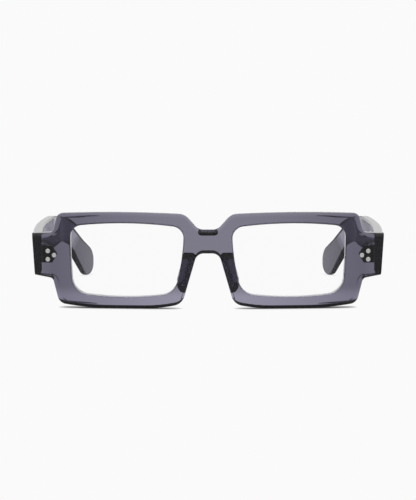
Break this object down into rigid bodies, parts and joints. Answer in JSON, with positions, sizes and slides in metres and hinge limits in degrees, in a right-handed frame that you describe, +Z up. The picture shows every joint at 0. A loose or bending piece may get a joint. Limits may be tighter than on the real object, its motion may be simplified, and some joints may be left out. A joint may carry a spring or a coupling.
{
  "type": "square eyeglasses",
  "caption": "Square spectacles in thick clear grey acetate, with clear lenses, built-up nose pads and wide temples that fold on riveted hinges.",
  "frame": {"origin": "on the table, under the middle of the whole object standing open", "axes": "+X towards the wearer's left, -Y is the way the front faces, +Y along the temples to their tips, +Z up"},
  "size_m": [0.1522, 0.129, 0.0405],
  "materials": {
    "clear_grey_acetate": "polished clear grey sheet",
    "clear_lens": "clear, polished",
    "hinge_metal": "satin nickel silver",
    "rivet_metal": "turned, lightly polished",
    "screw_steel": "bright steel"
  },
  "bodies": {
    "front": {"front": "clear_grey_acetate", "front_hinge_left": "hinge_metal", "front_hinge_right": "hinge_metal", "front_rivet_bottom_left": "rivet_metal", "front_rivet_bottom_right": "rivet_metal", "front_rivet_inner_left": "rivet_metal", "front_rivet_inner_right": "rivet_metal", "front_rivet_top_left": "rivet_metal", "front_rivet_top_right": "rivet_metal", "hinge_screw_left": "screw_steel", "hinge_screw_right": "screw_steel", "lens_left": "clear_lens", "lens_right": "clear_lens", "nose_pad_left": "clear_grey_acetate", "nose_pad_right": "clear_grey_acetate"},
    "temple_left": {"temple_hinge_left": "hinge_metal", "temple_left": "clear_grey_acetate", "temple_rivet_bottom_left": "rivet_metal", "temple_rivet_rear_left": "rivet_metal", "temple_rivet_top_left": "rivet_metal"},
    "temple_right": {"temple_hinge_right": "hinge_metal", "temple_right": "clear_grey_acetate", "temple_rivet_bottom_right": "rivet_metal", "temple_rivet_rear_right": "rivet_metal", "temple_rivet_top_right": "rivet_metal"}
  },
  "joints": [
    {"name": "temple_left_fold", "type": "hinge", "parent": "front", "child": "temple_left", "pos_m": [0.06844, -0.05023, 0.0222], "axis": [0, 0, 1], "range_deg": [0, 85]},
    {"name": "temple_right_fold", "type": "hinge", "parent": "front", "child": "temple_right", "pos_m": [-0.06844, -0.05023, 0.0222], "axis": [0, 0, -1], "range_deg": [0, 78]}
  ]
}
